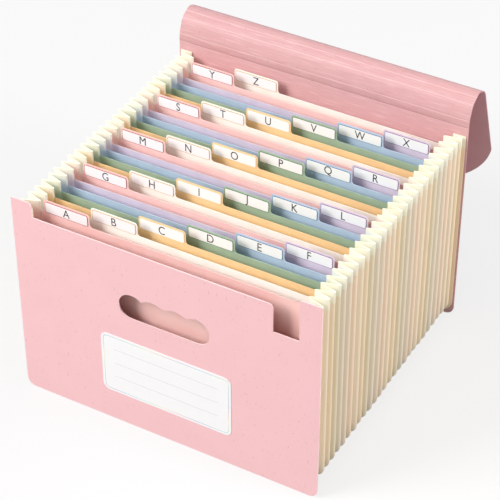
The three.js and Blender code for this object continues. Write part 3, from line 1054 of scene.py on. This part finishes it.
rainbow_line = rainbow_print()
rule_grey = plain_print("rule_grey", colour(206, 204, 206))
print("rainbow tones:", len(RAINBOW) - 1)

# %% Rule a line
RULE_HALF = 57.5 * MM
RULE_HEIGHTS = [92.2 * MM, 74.6 * MM, 57.7 * MM]
RULE_WIDTH = 0.35 * MM
RULE_LIFT = 0.02 * MM
RULE_THICK = 0.015 * MM


def add_rule(height, front):
    """One grey line: a plane, scaled to a thin strip just in front of the sticker."""
    bpy.ops.object.select_all(action="DESELECT")
    bpy.ops.mesh.primitive_plane_add(size=1, location=(0, front - RULE_LIFT, height),
                                     rotation=(math.pi / 2, 0, 0))
    strip = bpy.context.object
    strip.scale = (2 * RULE_HALF, RULE_WIDTH, 1)
    settle(strip)
    back_plate(strip, RULE_THICK)
    strip.data.materials.append(rule_grey)
    return strip


print("writing lines at", [round(height / MM, 1) for height in RULE_HEIGHTS], "mm")

# %% Make the front label
STICKER_THICK = 0.4 * MM
STICKER_CORNER = 7.5 * MM
STICKER_MARGIN = 2.4 * MM
RAINBOW_WIDTH = 0.5 * MM


def make_sticker():
    low, high = (Vector(corner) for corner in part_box("front_label"))
    low.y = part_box("front_cover")[0][1] - STICKER_THICK
    piece = rounded_plate("front_sticker", low, high, STICKER_CORNER, segments=10)
    for material in (label_white, rainbow_line):
        piece.data.materials.append(material)
    for width, ring_slot in ((STICKER_MARGIN, 0), (RAINBOW_WIDTH, 1)):
        ready = {face.index for face in piece.data.polygons if not face.select}
        inset_face(width)
        for face in piece.data.polygons:
            if face.select:
                face.material_index = 0
            elif face.index not in ready:
                face.material_index = ring_slot
    back_plate(piece, STICKER_THICK - LABEL_GLUE)
    join_to(piece, [add_rule(height, low.y) for height in RULE_HEIGHTS])
    belongs(piece, "file", "label", "front_label")
    return piece


sticker = make_sticker()
print("sticker slots:", [slot.name for slot in sticker.material_slots])

# %% [markdown]
# ## Floor and light
# The file stands on a plain white floor. One large soft lamp stands at the front left, as the
# shadows on the tabs show, and a weak one at the right lights the pleats' side. An even pale
# surrounding, brighter in front than behind, fills the rest. More light would make the floor
# white too, but it would also wash out the pinks. So the floor and the surrounding are white
# only to the rays that look at them, and throw back much less light on the file.


# %% Tell looking rays from light
def looking_rays(tree):
    """1 for rays that look at the background: straight, mirrored or through glass. Otherwise 0."""
    path = tree.nodes.new("ShaderNodeLightPath")
    looking = path.outputs["Is Camera Ray"]
    for kind in ("Is Glossy Ray", "Is Transmission Ray"):
        looking = calculate(tree, "MAXIMUM", looking, path.outputs[kind])
    return looking


def mix_shaders(tree, share, first, second, end):
    """Mixes two shaders' outputs, and sends the result to the end node's surface."""
    blend = tree.nodes.new("ShaderNodeMixShader")
    for socket, value in zip(blend.inputs, (share, first, second)):
        tree.links.new(value, socket)
    tree.links.new(blend.outputs[0], tree.nodes[end].inputs["Surface"])


print("rays that look:", "camera, glossy and transmission")

# %% Lay the floor
FLOOR_SIZE = 8.0
FLOOR_DULL = (0.22, 0.22, 0.22, 1)
FLOOR_PALE = (0.74, 0.74, 0.74, 1)
FLOOR_WHITE = 0.72


def add_floor():
    """The floor throws little light on the file. To the camera it is pale, and part plain white."""
    bpy.ops.object.select_all(action="DESELECT")
    bpy.ops.mesh.primitive_plane_add(size=FLOOR_SIZE, location=(0, 0, 0))
    floor = bpy.context.object
    floor.name = "floor"
    material, tree, shader = start_material("floor_white", roughness=0.9, specular=0.1)
    looking = looking_rays(tree)
    tree.links.new(mix(tree, looking, FLOOR_DULL, FLOOR_PALE), shader.inputs["Base Color"])
    glow = tree.nodes.new("ShaderNodeEmission")
    white = calculate(tree, "MULTIPLY", looking, FLOOR_WHITE)
    mix_shaders(tree, white, shader.outputs["BSDF"], glow.outputs[0], "Material Output")
    floor.data.materials.append(material)


add_floor()
print("floor of", FLOOR_SIZE, "m laid")

# %% Surround the file with soft light
SKY_TINT = (1, 0.99, 0.98, 1)
SKY_FRONT = 0.6
SKY_BACK = 0.32


def add_world():
    """An even surrounding that fades from front to back, and is plain white to looking rays."""
    world = bpy.data.worlds.new("surroundings")
    bpy.context.scene.world = world
    world.use_nodes = True
    tree = world.node_tree
    soft = tree.nodes["Background"]
    soft.inputs["Color"].default_value = SKY_TINT
    direction = tree.nodes.new("ShaderNodeTexCoord")
    split = tree.nodes.new("ShaderNodeSeparateXYZ")
    tree.links.new(direction.outputs["Generated"], split.inputs["Vector"])
    fade = tree.nodes.new("ShaderNodeMapRange")
    fade.inputs["From Min"].default_value = -1
    fade.inputs["To Min"].default_value = SKY_FRONT
    fade.inputs["To Max"].default_value = SKY_BACK
    tree.links.new(split.outputs["Y"], fade.inputs["Value"])
    tree.links.new(fade.outputs["Result"], soft.inputs["Strength"])
    seen = tree.nodes.new("ShaderNodeBackground")
    seen.inputs["Color"].default_value = (1, 1, 1, 1)
    seen.inputs["Strength"].default_value = 1.0
    mix_shaders(tree, looking_rays(tree), soft.outputs[0], seen.outputs[0], "World Output")


add_world()
print("surroundings:", SKY_FRONT, "in front,", SKY_BACK, "behind")

# %% Hang the lamps
LAMP_AIM = Vector((0, 0, 0.12))


def add_lamp(name, turn, lift, distance, size, power):
    """An area lamp at an angle round and above the file, facing its middle."""
    data = bpy.data.lights.new(name, "AREA")
    data.shape = "DISK"
    data.size = size
    data.energy = power
    lamp = bpy.data.objects.new(name, data)
    bpy.context.scene.collection.objects.link(lamp)
    turn, lift = math.radians(turn), math.radians(lift)
    level = math.cos(lift)
    direction = Vector((math.sin(turn) * level, -math.cos(turn) * level, math.sin(lift)))
    lamp.location = LAMP_AIM + direction * distance
    lamp.rotation_euler = direction.to_track_quat("Z", "Y").to_euler()


add_lamp("window_light", turn=-42, lift=36, distance=6.0, size=3.2, power=332)
add_lamp("right_fill", turn=96, lift=25, distance=2.0, size=1.0, power=25)
bpy.context.scene.view_settings.view_transform = "Standard"
print("lamps:", len(bpy.data.lights))
